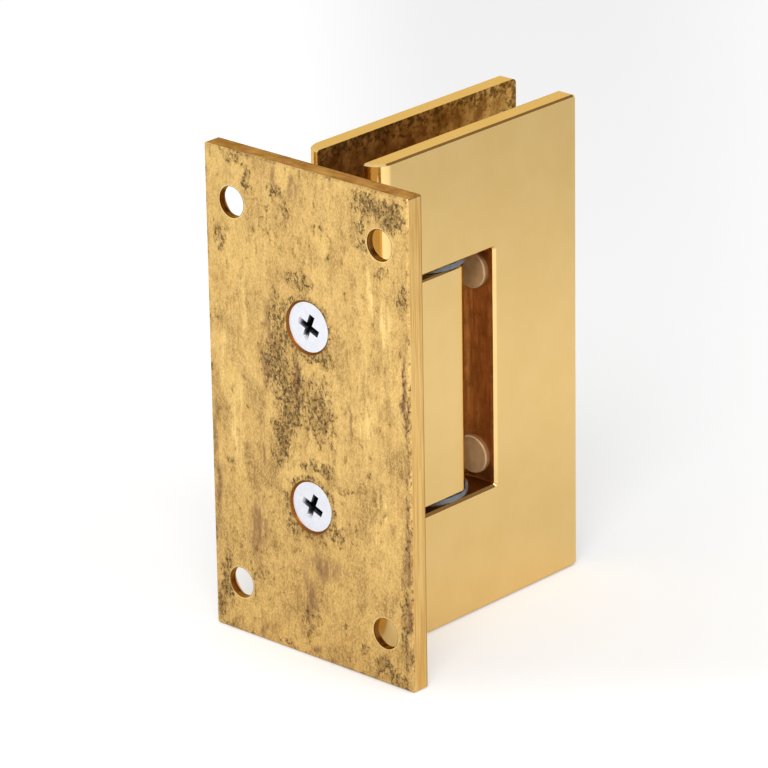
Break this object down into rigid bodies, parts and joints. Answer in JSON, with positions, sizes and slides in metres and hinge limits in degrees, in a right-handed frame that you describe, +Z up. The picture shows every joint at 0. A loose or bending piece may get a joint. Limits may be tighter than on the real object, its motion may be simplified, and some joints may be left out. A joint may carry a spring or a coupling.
{
  "type": "shower door hinge",
  "caption": "Wall-to-glass shower door hinge: flat wall plate with a pivot block, and a polished notched glass clamp that swings on a detented vertical pin.",
  "frame": {"origin": "centre of the wall plate's back face, which lies on the wall", "axes": "+X from the wall towards the door glass, +Z up, the clamp's show face looks along -Y"},
  "size_m": [0.0609, 0.047, 0.09],
  "materials": {
    "tarnished_brass": "raw brass, mottled with tarnish on the wall side",
    "polished_brass": "polished gold-coloured brass, tarnished inside the clamp",
    "zinc_steel": "bright zinc plated",
    "bare_steel": "ground stainless steel",
    "slate_nylon": "slate grey nylon",
    "milky_nylon": "milky natural nylon"
  },
  "bodies": {
    "wall_bracket": {"wall_plate": "tarnished_brass", "plate_screws": "zinc_steel", "pivot_block": "polished_brass", "upper_bush": "slate_nylon", "lower_bush": "slate_nylon", "upper_detent_spring": "bare_steel", "lower_detent_spring": "bare_steel"},
    "door_leaf": {"front_clamp_plate": "polished_brass", "rear_clamp_plate": "polished_brass", "clamp_screws": "zinc_steel", "hinge_pin": "bare_steel", "pin_grub_screws": "bare_steel", "upper_washer": "slate_nylon", "lower_washer": "slate_nylon", "upper_buffer": "milky_nylon", "lower_buffer": "milky_nylon"},
    "upper_detent": {"upper_detent_pad": "milky_nylon"},
    "lower_detent": {"lower_detent_pad": "milky_nylon"}
  },
  "joints": [
    {"name": "door_swing", "type": "hinge", "parent": "wall_bracket", "child": "door_leaf", "pos_m": [0.0265, 0, 0], "axis": [0, 0, 1], "range_deg": [-90, 90]},
    {"name": "upper_pad_slide", "type": "slide", "parent": "wall_bracket", "child": "upper_detent", "axis": [1, 0, 0], "range_m": [0, 0.00058], "stiffness_N_per_m": 2000, "springref_m": 0.004, "deforming": ["upper_detent_spring"]},
    {"name": "lower_pad_slide", "type": "slide", "parent": "wall_bracket", "child": "lower_detent", "axis": [1, 0, 0], "range_m": [0, 0.00058], "stiffness_N_per_m": 2000, "springref_m": 0.004, "deforming": ["lower_detent_spring"]}
  ]
}
